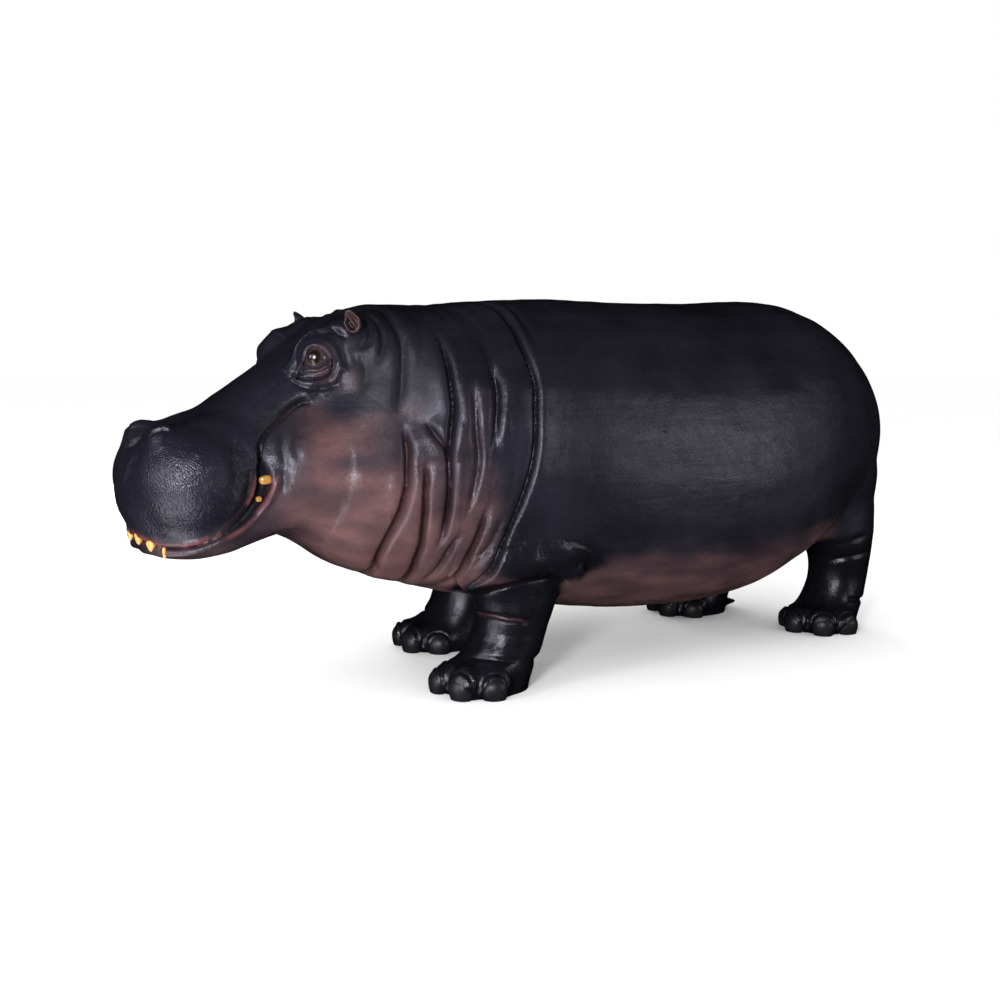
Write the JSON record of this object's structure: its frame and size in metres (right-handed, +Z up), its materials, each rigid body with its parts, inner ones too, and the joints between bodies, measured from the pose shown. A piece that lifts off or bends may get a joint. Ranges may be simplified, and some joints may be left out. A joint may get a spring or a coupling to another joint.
{
  "type": "hippopotamus statue",
  "caption": "Life-size painted resin statue of a hippopotamus, standing with its head low and its mouth closed, and resting on its flat soles.",
  "frame": {"origin": "on the floor, under the middle of the statue's bounding box", "axes": "+Z up; the head points towards -X, so the tail is at +X; the left flank faces -Y"},
  "size_m": [3.2784, 1.1797, 1.3715],
  "materials": {
    "painted_resin": "satin",
    "nail_paint": "satin",
    "tooth_paint": "gloss",
    "eye_glass": "gloss"
  },
  "bodies": {
    "root": {"head": "painted_resin", "jaw": "painted_resin", "neck": "painted_resin", "trunk": "painted_resin", "leg_front_left": "painted_resin", "leg_front_right": "painted_resin", "leg_hind_left": "painted_resin", "leg_hind_right": "painted_resin", "ear_left": "painted_resin", "ear_right": "painted_resin", "tail": "painted_resin", "nail_front_left_1": "nail_paint", "nail_front_left_2": "nail_paint", "nail_front_left_3": "nail_paint", "nail_front_left_4": "nail_paint", "nail_front_right_1": "nail_paint", "nail_front_right_2": "nail_paint", "nail_front_right_3": "nail_paint", "nail_front_right_4": "nail_paint", "nail_hind_left_1": "nail_paint", "nail_hind_left_2": "nail_paint", "nail_hind_left_3": "nail_paint", "nail_hind_left_4": "nail_paint", "nail_hind_right_1": "nail_paint", "nail_hind_right_2": "nail_paint", "nail_hind_right_3": "nail_paint", "nail_hind_right_4": "nail_paint", "incisor_inner_left": "tooth_paint", "incisor_inner_right": "tooth_paint", "incisor_outer_left": "tooth_paint", "incisor_outer_right": "tooth_paint", "canine_left": "tooth_paint", "canine_right": "tooth_paint", "tusk_left": "tooth_paint", "tusk_right": "tooth_paint", "cheek_tooth_left": "tooth_paint", "cheek_tooth_right": "tooth_paint", "eye_left": "eye_glass", "eye_right": "eye_glass"}
  },
  "joints": []
}
